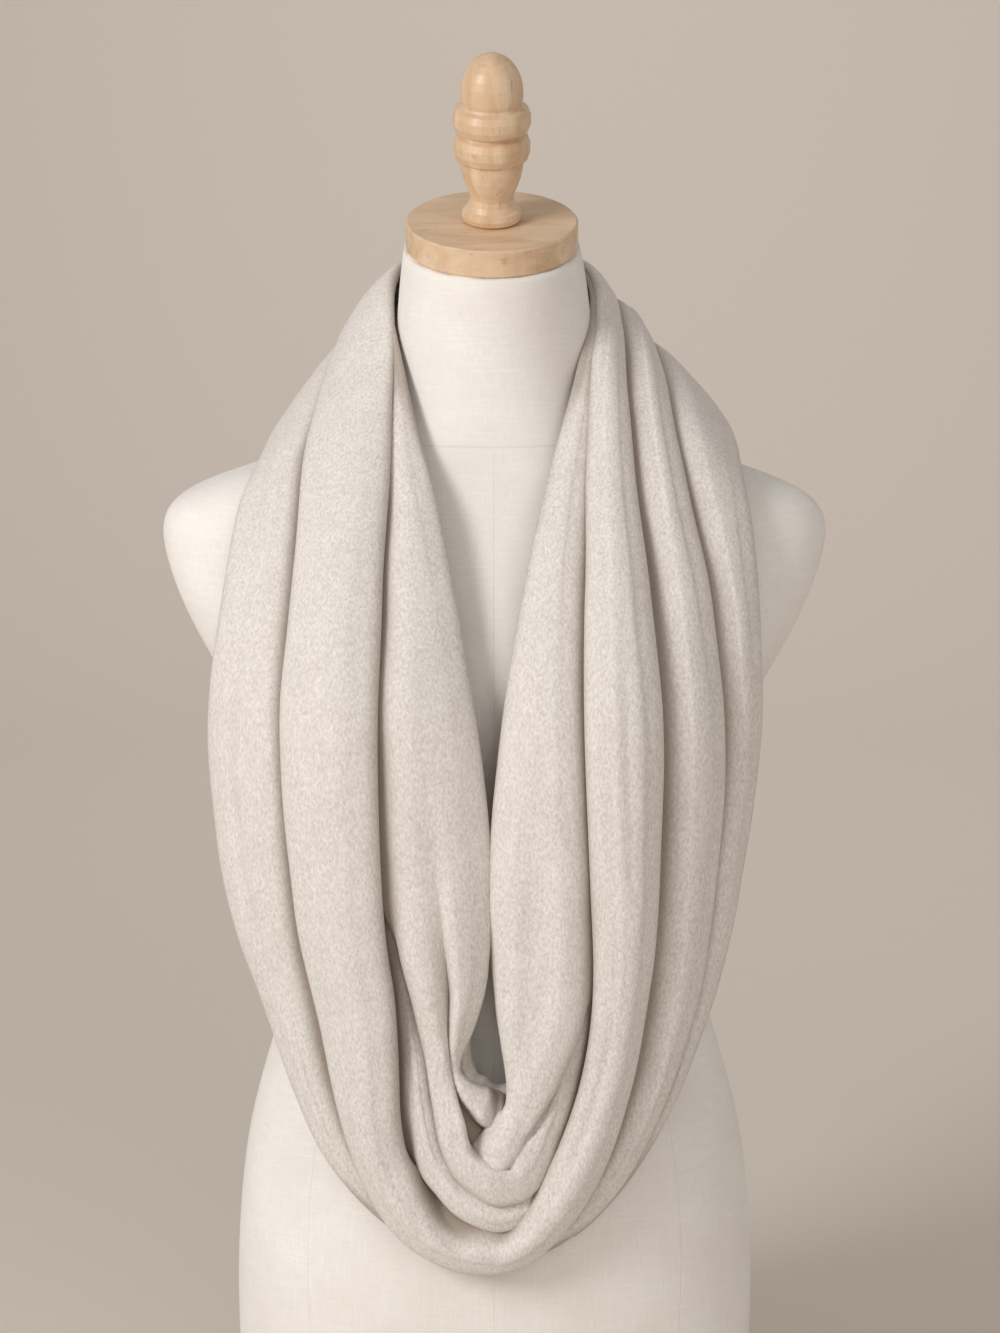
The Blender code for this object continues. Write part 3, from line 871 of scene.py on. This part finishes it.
def linen():
    """A woven linen cover with its seams."""
    material, tree, surface = new_material("cream linen cover", Roughness=0.88, Specular_IOR_Level=0.3,
                                           Sheen_Weight=0.08)
    place = add_node(tree, "ShaderNodeTexCoord").outputs["Object"]
    weave = woven(tree, place)
    tone = add_node(tree, "ShaderNodeTexNoise", {
        "Vector": place, "Scale": lumps_of(TONE_MM), "Detail": 3.0}).outputs["Fac"]
    blend = add_node(tree, "ShaderNodeMath", {0: weave, 1: tone}, operation="MULTIPLY").outputs[0]
    cream = add_node(tree, "ShaderNodeValToRGB", {"Fac": blend})
    set_ramp(cream, (0.15, "EFEAE4"), (0.42, "FBF8F4"))
    seams = cover_seams(tree)
    faint = add_node(tree, "ShaderNodeMath", {0: seams, 1: SEAM_TONE}, operation="MULTIPLY").outputs[0]
    sewn = add_node(tree, "ShaderNodeMix", {
        "Factor": faint, "A": cream.outputs[0], "B": linear("DCD2C5")}, data_type="RGBA")
    height = add_node(tree, "ShaderNodeMath", {0: weave, 1: seams}, operation="SUBTRACT").outputs[0]
    bump = add_node(tree, "ShaderNodeBump", {"Height": height, "Strength": 0.5, "Distance": 0.25 * MM})
    tree.links.new(sewn.outputs["Result"], surface.inputs["Base Color"])
    tree.links.new(bump.outputs["Normal"], surface.inputs["Normal"])
    return material


cover = linen()
body.data.materials.append(cover)
print("linen has", len(cover.node_tree.nodes), "nodes")

# %% [markdown]
# ## The wood
# The neck disc and the finial are turned beech with a thin clear varnish: pale, with
# a soft grain and short darker flecks. The varnish is a coat that gives the one soft
# highlight. The grain runs across the disc and up the finial, so each has its own
# stretch. Beech's real flecks are about 1 mm wide, and they are drawn at 2.4 mm.

# %% The turned beech
GRAIN_MM = 16.667
WOOD_FLECK_MM = 2.381
GRAIN_STRETCH = {"neck_disc": (0.25, 1.0, 1.0), "finial": (1.0, 1.0, 0.2)}


def beech(name, stretch):
    """Pale beech with a soft grain and short darker flecks."""
    material, tree, surface = new_material(name, Roughness=0.42, Coat_Weight=0.25, Coat_Roughness=0.35)
    place = add_node(tree, "ShaderNodeTexCoord").outputs["Object"]
    drawn = add_node(tree, "ShaderNodeMapping", {"Vector": place, "Scale": stretch}).outputs[0]
    grain = add_node(tree, "ShaderNodeTexNoise", {
        "Vector": drawn, "Scale": lumps_of(GRAIN_MM), "Detail": 5.0, "Roughness": 0.6,
        "Distortion": 0.6}).outputs["Fac"]
    pale = add_node(tree, "ShaderNodeValToRGB", {"Fac": grain})
    set_ramp(pale, (0.3, "CFA982"), (0.7, "ECD3B5"))
    flecks = add_node(tree, "ShaderNodeTexNoise", {
        "Vector": drawn, "Scale": lumps_of(WOOD_FLECK_MM), "Detail": 1.0}).outputs["Fac"]
    fleck = add_node(tree, "ShaderNodeMapRange", {0: flecks, 1: 0.68, 2: 0.76, 3: 0.0, 4: 0.35}).outputs[0]
    wood = add_node(tree, "ShaderNodeMix", {
        "Factor": fleck, "A": pale.outputs[0], "B": linear("A67C53")}, data_type="RGBA")
    bump = add_node(tree, "ShaderNodeBump", {"Height": grain, "Strength": 0.15, "Distance": 0.3 * MM})
    tree.links.new(wood.outputs["Result"], surface.inputs["Base Color"])
    tree.links.new(bump.outputs["Normal"], surface.inputs["Normal"])
    return material


for node, stretch in GRAIN_STRETCH.items():
    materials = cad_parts[node].data.materials
    materials.clear()
    materials.append(beech("turned beech " + node.replace("_", " "), stretch))
    print(node, "is", materials[0].name)

# %% [markdown]
# ## What each strip stands for
# Every strip of cloth rides on the form's one body and stands in place of the solids
# that it covers.

for name, piece in cloth.items():
    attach(piece, "root")
    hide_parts(*stands_for[name])
    print(name, "stands for", ", ".join(stands_for[name]))

# %% [markdown]
# ## The stage
# Behind the form is a wide roll of pale paper that sweeps up from the floor into a
# wall. A plane's back edge is pulled up and the fold is rounded, so no line shows
# between them. The floor lies 1 mm below the form's base, clear of it.

# %% The paper sweep
ROOM = 3.6
SWEEP = 1.6
SWEEP_SEGMENTS = 24
BELOW_BASE = -1 * MM


def add_stage():
    """A pale floor that sweeps up into a wall without a line between them."""
    shape = bmesh.new()
    bmesh.ops.create_grid(shape, x_segments=1, y_segments=1, size=ROOM)
    back = [edge for edge in shape.edges if all(vert.co.y > 0 for vert in edge.verts)]
    wall = bmesh.ops.extrude_edge_only(shape, edges=back)["geom"]
    top = [part for part in wall if isinstance(part, bmesh.types.BMVert)]
    bmesh.ops.translate(shape, vec=(0, 0, ROOM), verts=top)
    bmesh.ops.bevel(shape, geom=back, offset=SWEEP, segments=SWEEP_SEGMENTS, profile=0.5,
                    affect="EDGES", material=-1)
    bmesh.ops.translate(shape, vec=(0, 0, BELOW_BASE), verts=shape.verts)
    bmesh.ops.recalc_face_normals(shape, faces=shape.faces)
    mesh = bpy.data.meshes.new("floor")
    shape.to_mesh(mesh)
    shape.free()
    mesh.shade_smooth()
    floor = bpy.data.objects.new("floor", mesh)
    scene.collection.objects.link(floor)
    paper = new_material("pale paper sweep", Roughness=0.95, Base_Color=linear("DED6CC"))[0]
    mesh.materials.append(paper)
    return floor


floor = add_stage()
print("sweep has", len(floor.data.polygons), "faces")

# %% [markdown]
# ## The light
# A tall window on the left lights the folds from the side, so that each crease has a
# shaded edge. A broad, weak fill in front keeps the shades open, and a small light
# behind brightens the wall on the right. The room itself gives a soft grey light.

# %% The lights
LIGHT_AIM = (0, 0, 0.5)
LIGHTS = (
    # name, size (m), watts, place, aim, colour
    ("window", (0.9, 1.2), 50.0, (-2.0, -1.9, 1.9), LIGHT_AIM, "FFFDFB"),
    ("fill", (2.0, 2.0), 15.0, (1.0, -2.8, 1.5), LIGHT_AIM, "FFF9F3"),
    ("wall_wash", (0.8, 0.8), 14.0, (-0.3, 1.6, 2.2), (1.9, 3.2, 0.8), "FFFBF6"),
)
ROOM_COLOUR = "EDE8E3"
ROOM_STRENGTH = 0.45


def add_world():
    """The room's own soft light."""
    world = bpy.data.worlds.new("studio")
    world.use_nodes = True
    background = world.node_tree.nodes["Background"]
    background.inputs["Color"].default_value = linear(ROOM_COLOUR)
    background.inputs["Strength"].default_value = ROOM_STRENGTH
    scene.world = world


def add_light(name, size, power, place, aim, colour):
    """A rectangle of light turned to a point."""
    data = bpy.data.lights.new(name, "AREA")
    data.shape = "RECTANGLE"
    data.size, data.size_y = size
    data.energy = power
    data.color = linear(colour)[:3]
    light = bpy.data.objects.new(name, data)
    light.location = place
    light.visible_camera = False
    light.rotation_euler = (Vector(aim) - Vector(place)).to_track_quat("-Z", "Y").to_euler()
    scene.collection.objects.link(light)


add_world()
for row in LIGHTS:
    add_light(*row)
scene.view_settings.view_transform = "Standard"
print("lights:", ", ".join(row[0] for row in LIGHTS))

# %% [markdown]
# ## The cut sizes
# Each strip's flat size was measured as it was made: its greatest width and its
# length along the cloth, and its area, which is less than their product because a
# strip narrows towards its ends.

print("sheets:", len(cloth), "with", round(sum(cut[2] for cut in cuts.values()), 3), "square metres in all")
